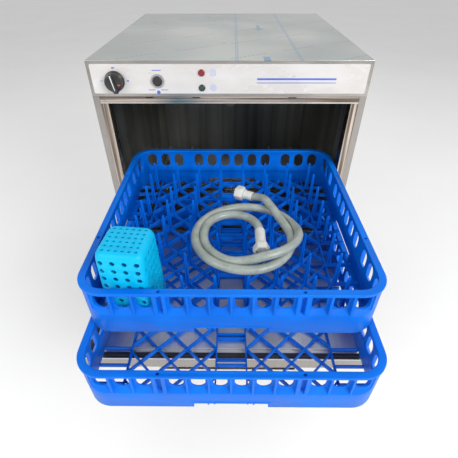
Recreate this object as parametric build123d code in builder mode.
from build123d import *
import math
import os

# Under-counter glass washer with its door folded down and two glass racks in front of it.
# Millimetres. +X is the right-hand side seen from the front, +Y goes in through the door, +Z is up.
# The origin is on the floor, at the centre of the space that the machine and its racks take up.

# ---- driving dimensions ----
WIDTH = 470.0
DEPTH = 515.0
HEIGHT = 700.0
FRONT = -67.5
BACK = FRONT + DEPTH
SHEET = 1.5
GAP = 0.2
BASE_Z = 30.0

PANEL_BOTTOM = 642.5
TOP_SHEET_Z = HEIGHT - SHEET
LID_LIP_Z = 682.0

FLANGE = 11.4
JAMB = 13.1
OPEN_HALF = WIDTH / 2 - FLANGE - JAMB
OPEN_TOP = 630.5
SILL_Z = 348.0

CHAMBER_HALF = 215.0
CHAMBER_FRONT = FRONT + 5.0
CHAMBER_BACK = FRONT + 430.0
CHAMBER_TOP = 640.0
TANK_RIM_Z = 330.0
TANK_FLOOR_Z = 240.0
ARM_Y = 160.0
HEATER_X = -90.0
SUCTION_X = -60.0
DRAIN_X = 120.0
DRAIN_Y = 250.0
MACHINE_Z = 125.0
BOILER_X = -150.0
BOILER_Y = 130.0
BOILER_R = 62.0
RISER_Y = 405.0
RISER_Z = 668.0
GLAND_Z = 70.0

RACK_FLOOR_Z = 354.0
HINGE_Y = FRONT - 14.0
HINGE_Z = RACK_FLOOR_Z - 14.5
DOOR_HALF = 222.0
DOOR_LENGTH = 302.0
DOOR_TAIL = 8.0
DOOR_OUTER_Z = HINGE_Z - 14.0
DOOR_LAND_Z = HINGE_Z + 10.5
DOOR_END_Y = HINGE_Y - DOOR_LENGTH
DOOR_HEEL_Y = HINGE_Y + DOOR_TAIL

RACK = 400.0
RACK_H = 78.0
RACK_R = 38.0
RACK_WALL = 3.0
RACK_X = 5.0
LOWER_RACK_Y = FRONT - 192.0
UPPER_RACK_Y = FRONT - 128.5
LOWER_RACK_Z = RACK_FLOOR_Z + 0.3
UPPER_RACK_Z = LOWER_RACK_Z + RACK_H + 0.3
RACK_FLOOR_H = 8.0
RIB = 2.4
PEG_PITCH = 45.0
PEG_ROWS = 8
PEG_H = 60.0

KNOB_X = -191.0
PANEL_MID_Z = HEIGHT - 32.0
BUTTON_X = -120.0
LAMP_X = -46.0
RED_Z = HEIGHT - 19.0
GREEN_Z = HEIGHT - 43.0

CUP_X = -128.0
CUP_Y = UPPER_RACK_Y - 153.5
CUP_Z = UPPER_RACK_Z + RACK_FLOOR_H + 0.3
CUP_H = 118.0
CUP_MOUTH = 67.0
CUP_BASE = 61.0
CUP_WALL = 2.0
CUP_TURN = -6.0

COIL_X = 28.0
COIL_Y = -279.0
COIL_Z = UPPER_RACK_Z + RACK_FLOOR_H + PEG_H + 0.4
COIL_OUTER = 86.0
COIL_INNER = 53.0
COIL_H = 27.0
NUT_R = 12.5
NUT_L = 15.0
OUTER_NUT = (13.0, -168.0, COIL_Z + 12.7)
OUTER_NUT_HEADING = (0.87, -0.49, 0.02)
INNER_NUT = (47.0, -318.0, COIL_Z + 9.0)
INNER_NUT_HEADING = (0, 1, 0)


def slab(x0, x1, y0, y1, z0, z1, mode=Mode.ADD):
    """A box between two corners, added to the part being built or cut from it."""
    with Locations(((x0 + x1) / 2, (y0 + y1) / 2, (z0 + z1) / 2)):
        Box(x1 - x0, y1 - y0, z1 - z0, mode=mode)


def rod(x, y, z, radius, length, axis="Z", mode=Mode.ADD):
    """A cylinder centred on a point, along X, Y or Z."""
    turn = {"X": (0, 90, 0), "Y": (90, 0, 0), "Z": (0, 0, 0)}[axis]
    with Locations((x, y, z)):
        Cylinder(radius, length, rotation=turn, mode=mode)


def save(builder, label):
    """Labels a finished piece and writes its STEP file."""
    builder.part.label = label
    export_step(builder.part, f"parts/{label}.step")


def tube_along(points, radii, radius, bore=0.0):
    """A pipe of straight runs and tangent arcs, hollow if it has a bore. Works inside a BuildPart."""
    with BuildLine() as route:
        FilletPolyline(*points, radius=radii)
    start = route.line @ 0
    heading = route.line % 0
    with BuildSketch(Plane(origin=start, z_dir=heading)) as section:
        Circle(radius)
        if bore:
            Circle(bore, mode=Mode.SUBTRACT)
    sweep(section.sketch, path=route.line)


os.makedirs("parts", exist_ok=True)

# ======== cabinet ========

with BuildPart() as base_frame:
    slab(-232, 232, FRONT + 4, BACK - 4, BASE_Z, BASE_Z + 22)
    slab(-230, 230, FRONT + 6, BACK - 6, BASE_Z + 2, BASE_Z + 22, Mode.SUBTRACT)
    foot_spots = [(x, y) for x in (-200, 200) for y in (FRONT + 40, BACK - 40)]
    for foot_x, foot_y in foot_spots:
        rod(foot_x, foot_y, BASE_Z + 11, 14, 18)
        rod(foot_x, foot_y, BASE_Z + 11, 5.06, 40, mode=Mode.SUBTRACT)
save(base_frame, "base_frame")

foot_names = ["foot_front_left", "foot_rear_left", "foot_front_right", "foot_rear_right"]
for foot_name, (foot_x, foot_y) in zip(foot_names, foot_spots):
    with BuildPart() as foot:
        with BuildSketch(Plane((foot_x, foot_y, 0))):
            Circle(20)
        extrude(amount=9)
        fillet(foot.edges().group_by(Axis.Z)[-1], radius=3)
        with BuildSketch(Plane((foot_x, foot_y, 9))):
            RegularPolygon(11, 6)
        extrude(amount=9)
        rod(foot_x, foot_y, 23.8, 8, 12)
        rod(foot_x, foot_y, 37, 5, 24)
    save(foot, foot_name)

with BuildPart() as left_side_panel:
    slab(-235, -235 + SHEET, FRONT, BACK - SHEET - GAP, 32, PANEL_BOTTOM - GAP)
    slab(-235, -235 + SHEET, FRONT + SHEET + GAP, BACK - SHEET - GAP, 400, LID_LIP_Z - GAP)
    slab(-235, -235 + FLANGE, FRONT, FRONT + SHEET, 32, PANEL_BOTTOM - GAP)
    slab(-235, -235 + FLANGE, BACK - 2 * SHEET - GAP, BACK - SHEET - GAP, 54, LID_LIP_Z - GAP)
save(left_side_panel, "left_side_panel")

with BuildPart() as right_side_panel:
    mirror(left_side_panel.part, about=Plane.YZ)
save(right_side_panel, "right_side_panel")

with BuildPart() as rear_panel:
    slab(-234.5, 234.5, BACK - SHEET, BACK, 32, LID_LIP_Z - GAP)
    with Locations(Plane.XZ.offset(-BACK)):
        with Locations((0, 140)):
            with GridLocations(90, 14, 3, 6):
                Box(62, 4, 4 * SHEET, mode=Mode.SUBTRACT)
    rod(-180, BACK, 95, 15, 10, "Y", Mode.SUBTRACT)
    rod(120, BACK, 80, 14, 10, "Y", Mode.SUBTRACT)
    rod(190, BACK, GLAND_Z, 8.2, 10, "Y", Mode.SUBTRACT)
save(rear_panel, "rear_panel")

with BuildPart() as top_panel:
    slab(-235, 235, FRONT, BACK, TOP_SHEET_Z, HEIGHT)
    slab(-235, -235 + SHEET, FRONT + SHEET + GAP, BACK, LID_LIP_Z, HEIGHT)
    slab(235 - SHEET, 235, FRONT + SHEET + GAP, BACK, LID_LIP_Z, HEIGHT)
    slab(-235, 235, BACK - SHEET, BACK, LID_LIP_Z, HEIGHT)
    rim = top_panel.edges().group_by(Axis.Z)[-1]
    fillet(rim, radius=0.9)
save(top_panel, "top_panel")

# welded frame of the opening: two jambs and a header, mitred at the corners
with BuildPart() as door_frame:
    with BuildSketch(Plane.XZ.offset(-FRONT)):
        with BuildLine():
            Polyline(
                (-OPEN_HALF - JAMB + GAP, SILL_Z - 15),
                (-OPEN_HALF, SILL_Z - 15),
                (-OPEN_HALF, OPEN_TOP),
                (-OPEN_HALF - JAMB + GAP, PANEL_BOTTOM - 2 * GAP),
                close=True,
            )
        make_face()
    extrude(amount=-SHEET)
    slab(-OPEN_HALF - SHEET, -OPEN_HALF, FRONT, FRONT + 22, SILL_Z + GAP, OPEN_TOP - GAP)
    slab(-CHAMBER_HALF, -OPEN_HALF, FRONT + 20.5, FRONT + 22, SILL_Z + GAP, OPEN_TOP - GAP)
    mirror(about=Plane.YZ)
    with BuildSketch(Plane.XZ.offset(-FRONT)):
        with BuildLine():
            Polyline(
                (-OPEN_HALF - JAMB + 2 * GAP, PANEL_BOTTOM - GAP),
                (-OPEN_HALF + GAP, OPEN_TOP),
                (OPEN_HALF - GAP, OPEN_TOP),
                (OPEN_HALF + JAMB - 2 * GAP, PANEL_BOTTOM - GAP),
                close=True,
            )
        make_face()
    extrude(amount=-SHEET)
    slab(-OPEN_HALF + GAP, OPEN_HALF - GAP, FRONT, FRONT + 22, OPEN_TOP, OPEN_TOP + SHEET)
    slab(-OPEN_HALF + GAP, OPEN_HALF - GAP, FRONT + 20.5, FRONT + 22, OPEN_TOP, CHAMBER_TOP - GAP)
    for slot_x in (-137, -57, 108):
        slab(slot_x - 7, slot_x + 7, FRONT - 1, FRONT + 3, 639.6, 641.2, Mode.SUBTRACT)
save(door_frame, "door_frame")

with BuildPart() as lower_front_panel:
    slab(-223.4, 223.4, FRONT, FRONT + SHEET, 34, SILL_Z - 15 - GAP)
    slab(-223.4, 223.4, FRONT, FRONT + 2.8, SILL_Z - 15 - SHEET - GAP, SILL_Z - 15 - GAP)
    slab(-223.4, 223.4, FRONT, FRONT + 3.8, 34, 34 + SHEET)
save(lower_front_panel, "lower_front_panel")

with BuildPart() as control_panel:
    slab(-235, 235, FRONT, FRONT + SHEET, PANEL_BOTTOM, TOP_SHEET_Z - GAP)
    slab(-233, 233, FRONT, FRONT + 12, TOP_SHEET_Z - GAP - SHEET, TOP_SHEET_Z - GAP)
    slab(-233, 233, FRONT, FRONT + 12, PANEL_BOTTOM, PANEL_BOTTOM + SHEET)
    rod(KNOB_X, FRONT, PANEL_MID_Z, 5, 10, "Y", Mode.SUBTRACT)
    rod(BUTTON_X, FRONT, PANEL_MID_Z, 9.2, 10, "Y", Mode.SUBTRACT)
    rod(LAMP_X, FRONT, RED_Z, 4.8, 10, "Y", Mode.SUBTRACT)
    rod(LAMP_X, FRONT, GREEN_Z, 4.8, 10, "Y", Mode.SUBTRACT)
save(control_panel, "control_panel")

with BuildPart() as panel_overlay:
    slab(-229.5, 229.5, FRONT - 0.5, FRONT, PANEL_BOTTOM + 5, HEIGHT - 5.5)
    fillet(panel_overlay.edges().filter_by(Axis.Y), radius=3)
    rod(KNOB_X, FRONT, PANEL_MID_Z, 5, 10, "Y", Mode.SUBTRACT)
    rod(BUTTON_X, FRONT, PANEL_MID_Z, 9.2, 10, "Y", Mode.SUBTRACT)
    rod(LAMP_X, FRONT, RED_Z, 4.8, 10, "Y", Mode.SUBTRACT)
    rod(LAMP_X, FRONT, GREEN_Z, 4.8, 10, "Y", Mode.SUBTRACT)
save(panel_overlay, "panel_overlay")

# pan-head screws: the lower front panel's on the front, the rear panel's on the back
with BuildPart() as panel_screws:
    front_spots = [(x, z) for x in (-212, 212) for z in (48, 318)]
    rear_spots = [(x, z) for x in (-226, 226) for z in (70, 360, 660)]
    for screw_x, screw_z in front_spots:
        rod(screw_x, FRONT - 1.1, screw_z, 4, 2.2, "Y")
        rod(screw_x, FRONT - 2.2, screw_z, 1.2, 1.6, "Y", Mode.SUBTRACT)
    for screw_x, screw_z in rear_spots:
        rod(screw_x, BACK + 1.1, screw_z, 4, 2.2, "Y")
        rod(screw_x, BACK + 2.2, screw_z, 1.2, 1.6, "Y", Mode.SUBTRACT)
save(panel_screws, "panel_screws")

# ======== wash chamber ========

# two side walls, back wall and ceiling, each a separate sheet
with BuildPart() as chamber_panels:
    slab(-CHAMBER_HALF - 1.2, -CHAMBER_HALF, CHAMBER_FRONT, CHAMBER_BACK - GAP, 331.7, CHAMBER_TOP - GAP)
    slab(CHAMBER_HALF, CHAMBER_HALF + 1.2, CHAMBER_FRONT, CHAMBER_BACK - GAP, 331.7, CHAMBER_TOP - GAP)
    slab(-CHAMBER_HALF - 1, CHAMBER_HALF + 1, CHAMBER_BACK, CHAMBER_BACK + 1.2, 331.7, CHAMBER_TOP - GAP)
    rod(0, CHAMBER_BACK, 488, 8, 10, "Y", Mode.SUBTRACT)
    slab(
        -CHAMBER_HALF - 1.2, CHAMBER_HALF + 1.2,
        FRONT + 20.5, CHAMBER_BACK + 1.2,
        CHAMBER_TOP, CHAMBER_TOP + 1.2,
    )
    rod(0, ARM_Y, CHAMBER_TOP, 10, 6, mode=Mode.SUBTRACT)
save(chamber_panels, "chamber_panels")

# bulkhead fitting with a hexagon nut on the back wall
with BuildPart() as rear_wall_fitting:
    with BuildSketch(Plane((0, CHAMBER_BACK, 488), z_dir=(0, -1, 0))):
        Circle(14)
    extrude(amount=4)
    with BuildSketch(Plane((0, CHAMBER_BACK - 4, 488), z_dir=(0, -1, 0))):
        RegularPolygon(8, 6)
    extrude(amount=6)
    rod(0, CHAMBER_BACK + 6, 488, 7.7, 22, "Y")
save(rear_wall_fitting, "rear_wall_fitting")

tank_mid_y = (FRONT + CHAMBER_BACK) / 2
tank_deep = CHAMBER_BACK + 1.2 - (FRONT + 3)
with BuildPart() as wash_tank:
    with BuildSketch(Plane((0, tank_mid_y, TANK_FLOOR_Z))):
        Rectangle(300, 280)
    with BuildSketch(Plane((0, tank_mid_y + 1.4, TANK_RIM_Z))):
        Rectangle(432, tank_deep)
    loft()
    with BuildSketch(Plane((0, tank_mid_y, TANK_FLOOR_Z + SHEET))):
        Rectangle(297, 277)
    with BuildSketch(Plane((0, tank_mid_y + 1.4, TANK_RIM_Z))):
        Rectangle(429, tank_deep - 3)
    loft(mode=Mode.SUBTRACT)
    slab(-216.2, 216.2, FRONT + 3, CHAMBER_BACK + 1.2, TANK_RIM_Z, TANK_RIM_Z + SHEET)
    slab(-212, 212, FRONT + 4.5, CHAMBER_BACK - 4, TANK_RIM_Z - 1, TANK_RIM_Z + 2, Mode.SUBTRACT)
    slab(-OPEN_HALF + 1, OPEN_HALF - 1, FRONT + 3, FRONT + 4.5, TANK_RIM_Z, SILL_Z)
    for leg_y in (90, 230):
        rod(HEATER_X, leg_y, TANK_FLOOR_Z, 4.3, 10, mode=Mode.SUBTRACT)
    rod(SUCTION_X, ARM_Y, TANK_FLOOR_Z, 13, 10, mode=Mode.SUBTRACT)
    rod(DRAIN_X, DRAIN_Y, TANK_FLOOR_Z, 9, 10, mode=Mode.SUBTRACT)
save(wash_tank, "wash_tank")

# stainless rod frames that the rack slides in on
rail_z = RACK_FLOOR_Z - 0.3 - 4
with BuildPart() as rack_rails:
    for side in (-1, 1):
        for rail_x in (120, 190):
            rod(side * rail_x, 150, rail_z, 4, 400, "Y")
        for bar_y in (-35, 150, 335):
            rod(side * 164, bar_y, rail_z, 3, 100, "X")
save(rack_rails, "rack_rails")

with BuildPart() as tank_filter:
    filter_z = TANK_FLOOR_Z + 20
    slab(-75, 105, 70, 260, filter_z, filter_z + 1.5)
    slab(-75, 105, 70, 260, filter_z - 8, filter_z + 1.5)
    slab(-73.5, 103.5, 71.5, 258.5, filter_z - 9, filter_z, Mode.SUBTRACT)
    rod(0, ARM_Y, filter_z, 20, 8, mode=Mode.SUBTRACT)
    slab(50, 106, 196, 261, filter_z - 9, filter_z + 2, Mode.SUBTRACT)
    with Locations((15, 165, filter_z)):
        with GridLocations(12, 12, 14, 15) as grid:
            holes = [
                spot for spot in grid.local_locations
                if math.hypot(spot.position.X + 15, spot.position.Y - 165 + ARM_Y) > 28
                and (spot.position.X + 15 < 44 or spot.position.Y + 165 < 190)
            ]
    with Locations(*[(15 + s.position.X, 165 + s.position.Y, filter_z) for s in holes]):
        Cylinder(3, 6, mode=Mode.SUBTRACT)
save(tank_filter, "tank_filter")

with BuildPart() as overflow_standpipe:
    rod(72, 220, (TANK_FLOOR_Z + SHEET + 312) / 2 + 0.1, 13, 312 - TANK_FLOOR_Z - SHEET - 0.2)
    rod(72, 220, 310, 16, 6)
    rod(72, 220, 280, 10.5, 100, mode=Mode.SUBTRACT)
save(overflow_standpipe, "overflow_standpipe")

with BuildPart() as tank_heater:
    tube_along(
        [
            (HEATER_X, 90, 222), (HEATER_X, 90, 257), (-132, 90, 257),
            (-132, 230, 257), (HEATER_X, 230, 257), (HEATER_X, 230, 222),
        ],
        12,
        4,
    )
    for leg_y in (90, 230):
        rod(HEATER_X, leg_y, 236, 9, 7.6)
save(tank_heater, "tank_heater")


SPINDLE_FOOT = TANK_FLOOR_Z + SHEET + GAP
LOWER_JOURNAL_Z = 318.0
UPPER_JOURNAL_Z = 611.0
UPPER_FLANGE_Z = CHAMBER_TOP - GAP
# lower and upper spindle: flange, column, journal for the wash arm, thin pin for the rinse arm
with BuildPart() as arm_spindles:
    rod(0, ARM_Y, SPINDLE_FOOT + 2, 27, 4)
    rod(0, ARM_Y, (SPINDLE_FOOT + LOWER_JOURNAL_Z) / 2 - GAP / 2, 17, LOWER_JOURNAL_Z - SPINDLE_FOOT - GAP)
    rod(0, ARM_Y, LOWER_JOURNAL_Z + 7, 12, 15)
    rod(0, ARM_Y, LOWER_JOURNAL_Z + 19.5, 5, 16)
    rod(0, ARM_Y, UPPER_FLANGE_Z - 2, 27, 4)
    upper_column = UPPER_FLANGE_Z - UPPER_JOURNAL_Z - GAP
    rod(0, ARM_Y, UPPER_FLANGE_Z - upper_column / 2, 17, upper_column)
    rod(0, ARM_Y, UPPER_JOURNAL_Z - 7, 12, 15)
    rod(0, ARM_Y, UPPER_JOURNAL_Z - 19.5, 5, 16)
save(arm_spindles, "arm_spindles")

# flat wash arms: hub, two blades with rounded ends, a row of jets towards the racks
for label, arm_low, jet_z in (
    ("lower_wash_arm", LOWER_JOURNAL_Z, LOWER_JOURNAL_Z + 13),
    ("upper_wash_arm", UPPER_JOURNAL_Z - 13, UPPER_JOURNAL_Z - 13),
):
    with BuildPart() as wash_arm:
        with BuildSketch(Plane((0, ARM_Y, arm_low))):
            SlotCenterToCenter(334, 34)
            Circle(27)
        extrude(amount=13)
        fillet(wash_arm.edges().group_by(Axis.Z)[-1], radius=3)
        fillet(wash_arm.edges().group_by(Axis.Z)[0], radius=3)
        rod(0, ARM_Y, arm_low + 6.5, 12.06, 40, mode=Mode.SUBTRACT)
        for jet_x in (50, 82, 114, 146):
            for side in (-1, 1):
                rod(side * jet_x, ARM_Y + side * 4, jet_z, 2.2, 8, mode=Mode.SUBTRACT)
    save(wash_arm, label)

# thin rinse arms: a tube each side of a small hub, with fine jets
for label, arm_mid, jet_side in (
    ("lower_rinse_arm", LOWER_JOURNAL_Z + 19, 1),
    ("upper_rinse_arm", UPPER_JOURNAL_Z - 19, -1),
):
    with BuildPart() as rinse_arm:
        rod(0, ARM_Y, arm_mid, 11, 8)
        rod(0, ARM_Y, arm_mid, 4, 320, "X")
        rod(0, ARM_Y, arm_mid, 5.06, 30, mode=Mode.SUBTRACT)
        for jet_x in (45, 80, 115, 150):
            for side in (-1, 1):
                rod(side * jet_x, ARM_Y, arm_mid + 4 * jet_side, 1, 3, mode=Mode.SUBTRACT)
    save(rinse_arm, label)

# ======== machinery under and behind the chamber ========

with BuildPart() as wash_pump_housing:
    rod(0, ARM_Y, MACHINE_Z, 52, 50, "X")
    rod(0, ARM_Y, MACHINE_Z + 48, 15, 36)
    slab(-20, 20, ARM_Y - 30, ARM_Y + 30, BASE_Z + 2.2, MACHINE_Z - 40)
    rod(0, ARM_Y, MACHINE_Z, 46, 40, "X", Mode.SUBTRACT)
    rod(-20, ARM_Y, MACHINE_Z, 14, 20, "X", Mode.SUBTRACT)
    rod(20, ARM_Y, MACHINE_Z, 7, 20, "X", Mode.SUBTRACT)
    rod(0, ARM_Y, MACHINE_Z + 48, 12, 60, mode=Mode.SUBTRACT)
    rod(0, ARM_Y + 50, MACHINE_Z, 9, 30, "Y", Mode.SUBTRACT)
save(wash_pump_housing, "wash_pump_housing")

with BuildPart() as wash_pump_motor:
    rod(90, ARM_Y, MACHINE_Z, 44, 129.4, "X")
    for fin_x in range(45, 140, 12):
        rod(fin_x, ARM_Y, MACHINE_Z, 48, 4, "X")
    slab(60, 110, ARM_Y - 22, ARM_Y + 22, MACHINE_Z + 40, MACHINE_Z + 72)
    rod(30, ARM_Y, MACHINE_Z, 6.08, 60, "X", Mode.SUBTRACT)
save(wash_pump_motor, "wash_pump_motor")

with BuildPart() as wash_pump_impeller:
    rod(8, ARM_Y, MACHINE_Z, 40, 4, "X")
    rod(0, ARM_Y, MACHINE_Z, 12, 20, "X")
    for blade in range(6):
        with Locations(Location((-1, ARM_Y, MACHINE_Z), (60 * blade, 0, 0))):
            with Locations((0, 0, 24)):
                Box(16, 3, 30)
    rod(30, ARM_Y, MACHINE_Z, 6, 50, "X")
save(wash_pump_impeller, "wash_pump_impeller")

# suction from the tank, feed to the lower spindle, and riser to the upper spindle
with BuildPart() as wash_pipes:
    tube_along(
        [(SUCTION_X, ARM_Y, TANK_FLOOR_Z - GAP), (SUCTION_X, ARM_Y, MACHINE_Z), (-25.2, ARM_Y, MACHINE_Z)],
        26, 16, 13,
    )
    tube_along(
        [
            (0, ARM_Y + 52.4, MACHINE_Z), (0, RISER_Y, MACHINE_Z), (0, RISER_Y, RISER_Z),
            (0, ARM_Y, RISER_Z), (0, ARM_Y, CHAMBER_TOP + 1.4),
        ],
        [30, 28, 24],
        11,
        9,
    )
    feed_low = MACHINE_Z + 66 + GAP
    feed_high = TANK_FLOOR_Z - GAP
    rod(0, ARM_Y, (feed_low + feed_high) / 2, 14.8, feed_high - feed_low)
    rod(0, ARM_Y, (feed_low + feed_high) / 2, 12, feed_high - feed_low + 1, mode=Mode.SUBTRACT)
save(wash_pipes, "wash_pipes")

# hollow boiler tank on two cradles, and its screw-in heater: element loop, flange and three terminals
with BuildPart() as rinse_boiler:
    rod(BOILER_X, BOILER_Y, MACHINE_Z, BOILER_R, 220, "Y")
    fillet(rinse_boiler.edges(), radius=12)
    for cradle_y in (60, 200):
        slab(
            BOILER_X - 40, BOILER_X + 40,
            cradle_y - 8, cradle_y + 8,
            BASE_Z + 2.2, MACHINE_Z - 50,
        )
    rod(BOILER_X, BOILER_Y, MACHINE_Z, BOILER_R - 2, 196, "Y", Mode.SUBTRACT)
    rod(BOILER_X, BOILER_Y, MACHINE_Z, BOILER_R - 10, 212, "Y", Mode.SUBTRACT)
    rod(BOILER_X, BOILER_Y - 108, MACHINE_Z, 18, 8, "Y", Mode.SUBTRACT)
    rod(BOILER_X, 12.8, MACHINE_Z, 26, 14, "Y")
    tube_along(
        [
            (BOILER_X - 10, 15, MACHINE_Z), (BOILER_X - 10, 200, MACHINE_Z),
            (BOILER_X + 10, 200, MACHINE_Z), (BOILER_X + 10, 15, MACHINE_Z),
        ],
        9,
        4,
    )
    for pin_x in (BOILER_X - 12, BOILER_X, BOILER_X + 12):
        rod(pin_x, 0, MACHINE_Z, 3, 14, "Y")
save(rinse_boiler, "rinse_boiler")

with BuildPart() as inlet_valve:
    slab(-202, -158, BACK - 44, BACK - SHEET - GAP, 74, 116)
    rod(-180, BACK - 26, 130, 14, 30)
    rod(-180, BACK + 5, 95, 13.2, 14, "Y")
    rod(-180, BACK + 5, 95, 9, 24, "Y", Mode.SUBTRACT)
save(inlet_valve, "inlet_valve")

# cold water from the valve to the boiler, hot rinse water from the boiler to the ceiling
with BuildPart() as rinse_pipes:
    rod(-180, (240.2 + BACK - 44.2) / 2, 100, 6, BACK - 44.2 - 240.2, "Y")
    tube_along(
        [
            (-150, 240.4, 150), (-150, RISER_Y, 150), (-150, RISER_Y, RISER_Z),
            (-45, ARM_Y, RISER_Z), (-45, ARM_Y, CHAMBER_TOP + 1.4),
        ],
        [20, 20, 20],
        5,
    )
save(rinse_pipes, "rinse_pipes")

with BuildPart() as drain_pump_housing:
    rod(DRAIN_X, 300, 80, 32, 50, "Y")
    rod(DRAIN_X, 300, 80, 27, 42, "Y", Mode.SUBTRACT)
    rod(DRAIN_X, 330, 80, 11, 20, "Y")
    rod(DRAIN_X, 330, 80, 8, 60, "Y", Mode.SUBTRACT)
    slab(DRAIN_X - 25, DRAIN_X + 25, 282, 318, BASE_Z + 2.2, 52)
save(drain_pump_housing, "drain_pump_housing")

with BuildPart() as drain_pump_rotor:
    rod(DRAIN_X, 300, 80, 8, 24, "Y")
    for blade in range(4):
        with Locations(Location((DRAIN_X, 300, 80), (0, 90 * blade, 0))):
            with Locations((0, 0, 14)):
                Box(3, 18, 18)
save(drain_pump_rotor, "drain_pump_rotor")

# from the tank to the drain pump, and from the pump to the hose spigot on the back
with BuildPart() as drain_pipes:
    tube_along(
        [(DRAIN_X, DRAIN_Y, TANK_FLOOR_Z - GAP), (DRAIN_X, DRAIN_Y, 80), (DRAIN_X, 274.8, 80)],
        18, 10, 8,
    )
    rod(DRAIN_X, (340.4 + BACK + 12) / 2, 80, 11, BACK + 12 - 340.4, "Y")
    rod(DRAIN_X, BACK - SHEET - GAP - 2, 80, 18, 4, "Y")
    rod(DRAIN_X, 400, 80, 8, 119, "Y", Mode.SUBTRACT)
save(drain_pipes, "drain_pipes")

with BuildPart() as rinse_doser:
    slab(150, 204, 372, 430, 250, 316)
    rod(177, 372, 283, 19, 30, "Y", Mode.SUBTRACT)
    for spout_x in (166, 188):
        rod(spout_x, 401, 322, 4, 14)
save(rinse_doser, "rinse_doser")

with BuildPart() as doser_rotor:
    rod(177, 378, 283, 9, 14, "Y")
    for roller in range(3):
        with Locations(Location((177, 378, 283), (0, 120 * roller, 0))):
            with Locations((0, 0, 11)):
                Cylinder(4.5, 14, rotation=(90, 0, 0))
save(doser_rotor, "doser_rotor")

# contactor above the chamber, and the control board on posts behind the control panel
with BuildPart() as control_electronics:
    slab(150, 204, 40, 100, CHAMBER_TOP + 1.4, CHAMBER_TOP + 34)
    for pole_x in (160, 171, 182, 193):
        rod(pole_x, 52, CHAMBER_TOP + 34, 3, 4)
        rod(pole_x, 88, CHAMBER_TOP + 34, 3, 4)
    slab(20, 210, FRONT + 18, FRONT + 19.6, 650, 692)
    for relay_x in (60, 84, 108):
        slab(relay_x - 9, relay_x + 9, FRONT + 19.6, FRONT + 34, 655, 671)
    slab(150, 200, FRONT + 19.6, FRONT + 30, 676, 686)
    for post_x in (26, 204):
        for post_z in (655, 687):
            rod(post_x, FRONT + 9.8, post_z, 2.5, 16.4, "Y")
save(control_electronics, "control_electronics")

with BuildPart() as cable_gland:
    rod(190, BACK + 1, GLAND_Z, 8, 18, "Y")
    with BuildSketch(Plane((190, BACK, GLAND_Z), z_dir=(0, 1, 0))):
        RegularPolygon(12, 6)
    extrude(amount=7)
    rod(190, BACK - SHEET - 4, GLAND_Z, 11, 6, "Y")
    rod(190, BACK, GLAND_Z, 4, 60, "Y", Mode.SUBTRACT)
save(cable_gland, "cable_gland")

# ======== controls ========

# rotary selector: pot-shaped body with a raised grip bar and a D-shaft
with BuildPart() as selector_knob:
    knob_face = Plane((KNOB_X, FRONT - 0.8, PANEL_MID_Z), z_dir=(0, -1, 0))
    with BuildSketch(knob_face):
        Circle(16.5)
    extrude(amount=5)
    with BuildSketch(knob_face.offset(5)):
        Circle(15)
    extrude(amount=9, taper=4)
    with BuildSketch(knob_face.offset(5)):
        SlotCenterToCenter(20, 8, rotation=90)
    extrude(amount=13, taper=3)
    rod(KNOB_X, FRONT + 6, PANEL_MID_Z, 3, 14, "Y")
save(selector_knob, "selector_knob")

with BuildPart() as selector_switch:
    slab(KNOB_X - 20, KNOB_X + 20, FRONT + SHEET + GAP, FRONT + 34, PANEL_MID_Z - 20, PANEL_MID_Z + 20)
    rod(KNOB_X, FRONT + 4, PANEL_MID_Z, 3.08, 20, "Y", Mode.SUBTRACT)
save(selector_switch, "selector_switch")

with BuildPart() as button_bezel:
    rod(BUTTON_X, FRONT - 1.5, PANEL_MID_Z, 11, 2, "Y")
    rod(BUTTON_X, FRONT + 6, PANEL_MID_Z, 9, 16, "Y")
    rod(BUTTON_X, FRONT + 5, PANEL_MID_Z, 8.2, 15, "Y", Mode.SUBTRACT)
    rod(BUTTON_X, FRONT, PANEL_MID_Z, 8.2, 12, "Y", Mode.SUBTRACT)
save(button_bezel, "button_bezel")

with BuildPart() as start_button:
    rod(BUTTON_X, FRONT + 0.5, PANEL_MID_Z, 7.9, 8, "Y")
    fillet(start_button.edges().group_by(Axis.Y)[0], radius=1.5)
save(start_button, "start_button")

with BuildPart() as button_spring:
    rod(BUTTON_X, FRONT + 8.5, PANEL_MID_Z, 5, 7.6, "Y")
    rod(BUTTON_X, FRONT + 8.5, PANEL_MID_Z, 3.8, 12, "Y", Mode.SUBTRACT)
save(button_spring, "button_spring")

for label, lamp_z in (("red_lamp", RED_Z), ("green_lamp", GREEN_Z)):
    with BuildPart() as lamp:
        rod(LAMP_X, FRONT + 5.9, lamp_z, 4.6, 13.2, "Y")
        with BuildSketch(Plane((LAMP_X, FRONT - 0.6, lamp_z), z_dir=(0, -1, 0))):
            Circle(5.6)
        extrude(amount=2.4)
        fillet(lamp.faces().sort_by(Axis.Y)[0].edges(), radius=1.6)
    save(lamp, label)

# ======== door ========

with BuildPart() as door_outer_skin:
    slab(-DOOR_HALF, DOOR_HALF, DOOR_END_Y, DOOR_HEEL_Y, DOOR_OUTER_Z, DOOR_LAND_Z - 2)
    fillet(door_outer_skin.edges().group_by(Axis.Z)[0], radius=2)
    slab(-DOOR_HALF + SHEET, DOOR_HALF - SHEET, DOOR_END_Y + SHEET, DOOR_HEEL_Y - SHEET,
         DOOR_OUTER_Z + SHEET, DOOR_LAND_Z, Mode.SUBTRACT)
    for side in (-1, 1):
        rod(side * DOOR_HALF, HINGE_Y, HINGE_Z, 5.2, 8, "X", Mode.SUBTRACT)
save(door_outer_skin, "door_outer_skin")

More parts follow.
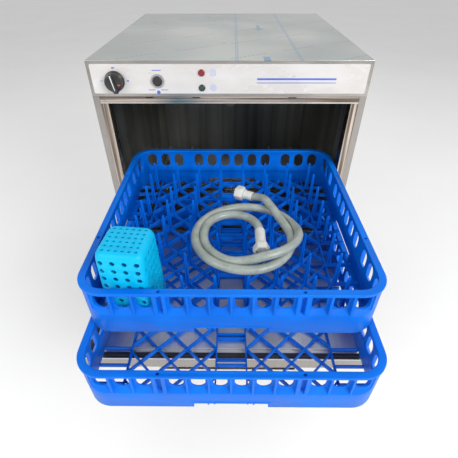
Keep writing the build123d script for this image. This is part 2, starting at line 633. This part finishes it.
PAN_HALF = OPEN_HALF - 3.0
PAN_HEEL_Y = HINGE_Y - 12.0
PAN_END_Y = HINGE_Y - (OPEN_TOP - HINGE_Z) + 4.0
with BuildPart() as door_inner_skin:
    slab(-DOOR_HALF, DOOR_HALF, DOOR_END_Y, DOOR_HEEL_Y, DOOR_LAND_Z - 2 + GAP, DOOR_LAND_Z)
    slab(-PAN_HALF, PAN_HALF, PAN_END_Y, PAN_HEEL_Y, DOOR_LAND_Z - 2 + GAP, RACK_FLOOR_Z)
    fillet(door_inner_skin.edges().group_by(Axis.Z)[-1], radius=1.5)
    slab(-PAN_HALF + SHEET, PAN_HALF - SHEET, PAN_END_Y + SHEET, PAN_HEEL_Y - SHEET,
         DOOR_LAND_Z - 3, RACK_FLOOR_Z - SHEET, Mode.SUBTRACT)
save(door_inner_skin, "door_inner_skin")

# rubber seal on the door's land: both sides and the free edge
with BuildPart() as door_gasket:
    slab(-DOOR_HALF + 2, -PAN_HALF - 1, DOOR_END_Y + 2, HINGE_Y - 20, DOOR_LAND_Z, DOOR_LAND_Z + 3.3)
    slab(PAN_HALF + 1, DOOR_HALF - 2, DOOR_END_Y + 2, HINGE_Y - 20, DOOR_LAND_Z, DOOR_LAND_Z + 3.3)
    slab(-DOOR_HALF + 2, DOOR_HALF - 2, DOOR_END_Y + 2, PAN_END_Y - 1, DOOR_LAND_Z, DOOR_LAND_Z + 3.3)
save(door_gasket, "door_gasket")

# folded grip along the door's free edge, on the outer face
with BuildPart() as door_handle:
    grip_y = DOOR_END_Y + 26
    slab(-110, 110, grip_y, grip_y + 22, DOOR_OUTER_Z - 2, DOOR_OUTER_Z)
    slab(-110, 110, grip_y - 16, grip_y + 2, DOOR_OUTER_Z - 24, DOOR_OUTER_Z - 22)
    slab(-110, 110, grip_y, grip_y + 2, DOOR_OUTER_Z - 24, DOOR_OUTER_Z)
    for cap_x in (-112, 108):
        slab(cap_x, cap_x + 4, grip_y - 16, grip_y + 22, DOOR_OUTER_Z - 24, DOOR_OUTER_Z)
save(door_handle, "door_handle")

with BuildPart() as hinge_pins:
    for side in (-1, 1):
        rod(side * (DOOR_HALF + 0.5), HINGE_Y, HINGE_Z, 5, 11, "X")
save(hinge_pins, "hinge_pins")

with BuildPart() as hinge_brackets:
    for side in (-1, 1):
        low_x, high_x = sorted((side * (DOOR_HALF + 1.8), side * (DOOR_HALF + 6.3)))
        slab(low_x, high_x, HINGE_Y - 9, FRONT, HINGE_Z - 14, HINGE_Z + 12)
        low_x, high_x = sorted((side * (DOOR_HALF + 1.8), side * 234))
        slab(low_x, high_x, FRONT - 2, FRONT, HINGE_Z - 14, HINGE_Z + 12)
        rod(side * (DOOR_HALF + 4), HINGE_Y, HINGE_Z, 5.06, 12, "X", Mode.SUBTRACT)
save(hinge_brackets, "hinge_brackets")

# door micro switch above the header, and the tank's pressure switch behind the back wall
with BuildPart() as sensing_switches:
    slab(150, 185, FRONT + 24, FRONT + 42, CHAMBER_TOP + 1.4, CHAMBER_TOP + 20)
    slab(158, 177, FRONT + 14, FRONT + 24, CHAMBER_TOP + 8, CHAMBER_TOP + 10)
    rod(-100, 405, 300, 26, 22, "Y")
    rod(-100, 391, 300, 4, 12, "Y")
    slab(-112, -88, 416, 428, 306, 322)
save(sensing_switches, "sensing_switches")

# ======== racks and what they hold ========

# middles of the twelve pockets in a rack wall: three, six, three
POCKETS = [side * at for side in (-1, 1) for at in (14, 42, 70, 112, 140, 168)]
for label, rack_y, rack_z in (
    ("lower_rack", LOWER_RACK_Y, LOWER_RACK_Z),
    ("upper_rack", UPPER_RACK_Y, UPPER_RACK_Z),
):
    rack_plane = Plane((RACK_X, rack_y, rack_z))
    with BuildPart() as rack:
        with BuildSketch(rack_plane):
            RectangleRounded(RACK - 3, RACK - 3, RACK_R - 1.5)
            offset(amount=-RACK_WALL, mode=Mode.SUBTRACT)
        extrude(amount=RACK_H)
        with BuildSketch(rack_plane.offset(RACK_H - 4)):
            RectangleRounded(RACK, RACK, RACK_R)
            offset(amount=-10, mode=Mode.SUBTRACT)
        extrude(amount=4)
        with BuildSketch(rack_plane):
            for step in range(-8, 9):
                at = PEG_PITCH / 2 * step
                with Locations((at, -at)):
                    Rectangle(2 * RACK, RIB, rotation=45)
                with Locations((at, at)):
                    Rectangle(2 * RACK, RIB, rotation=-45)
            with Locations((PEG_PITCH / 2, 0), (-PEG_PITCH / 2, 0)):
                Rectangle(RIB, 2 * RACK)
            RectangleRounded(RACK - 5, RACK - 5, RACK_R - 2, mode=Mode.INTERSECT)
        extrude(amount=RACK_FLOOR_H)
        walls = [rack_plane * Location((0, 0, 0), (0, 0, turn)) for turn in (0, 90, 180, 270)]
        pockets = [wall * Location((at, -RACK / 2 + 3, 46)) for wall in walls for at in POCKETS]
        with Locations(*pockets):
            Box(22, 24, 32, mode=Mode.SUBTRACT)
        with Locations(*[wall * Location((0, -RACK / 2 + 3, 4)) for wall in walls]):
            Box(100, 9, 10, mode=Mode.SUBTRACT)
    save(rack, label)

with BuildPart() as upper_rack_pegs:
    with Locations(Plane((RACK_X, UPPER_RACK_Y, UPPER_RACK_Z + RACK_FLOOR_H + PEG_H / 2))):
        with GridLocations(PEG_PITCH, PEG_PITCH, PEG_ROWS, PEG_ROWS):
            Cone(4.5, 1.8, PEG_H)
save(upper_rack_pegs, "upper_rack_pegs")

# square cutlery cup standing on its mouth, with a grid of drain holes in every face
cup_plane = Plane((CUP_X, CUP_Y, CUP_Z)).rotated((0, 0, CUP_TURN))
with BuildPart() as cutlery_cup:
    with BuildSketch(cup_plane):
        RectangleRounded(CUP_MOUTH, CUP_MOUTH, 9)
    with BuildSketch(cup_plane.offset(CUP_H)):
        RectangleRounded(CUP_BASE, CUP_BASE, 9)
    loft()
    with BuildSketch(cup_plane):
        RectangleRounded(CUP_MOUTH - 2 * CUP_WALL, CUP_MOUTH - 2 * CUP_WALL, 7)
    with BuildSketch(cup_plane.offset(CUP_H - 2.5)):
        RectangleRounded(CUP_BASE - 2 * CUP_WALL, CUP_BASE - 2 * CUP_WALL, 7)
    loft(mode=Mode.SUBTRACT)
    with Locations(cup_plane.offset(CUP_H)):
        with GridLocations(8.4, 8.4, 6, 6):
            Cylinder(2.2, 12, mode=Mode.SUBTRACT)
    for turn in ((90, 0, 0), (90, 0, 90)):
        with Locations(cup_plane * Location((0, 0, CUP_H / 2 + 6), turn)):
            with GridLocations(11, 13, 4, 7):
                Cylinder(3, 2 * CUP_MOUTH, mode=Mode.SUBTRACT)
save(cutlery_cup, "cutlery_cup")

# coiled water hose lying on the pegs: the outer shape of its turns, and a nut with its ferrule at each end
with BuildPart() as fill_hose_coil:
    with BuildSketch(Plane((COIL_X, COIL_Y, COIL_Z))):
        Circle(COIL_OUTER)
        Circle(COIL_INNER, mode=Mode.SUBTRACT)
    extrude(amount=COIL_H)
    fillet(fill_hose_coil.edges(), radius=8)
save(fill_hose_coil, "fill_hose_coil")

with BuildPart() as hose_fittings:
    for nut_face, heading, ferrule in (
        (OUTER_NUT, OUTER_NUT_HEADING, 16),
        (INNER_NUT, INNER_NUT_HEADING, 33),
    ):
        nut_plane = Plane(origin=nut_face, z_dir=heading)
        with BuildSketch(nut_plane):
            RegularPolygon(NUT_R, 6)
        extrude(amount=NUT_L)
        with BuildSketch(nut_plane.offset(NUT_L)):
            Circle(7.5)
        extrude(amount=ferrule)
        with BuildSketch(nut_plane):
            Circle(8)
        extrude(amount=10, mode=Mode.SUBTRACT)
save(hose_fittings, "hose_fittings")
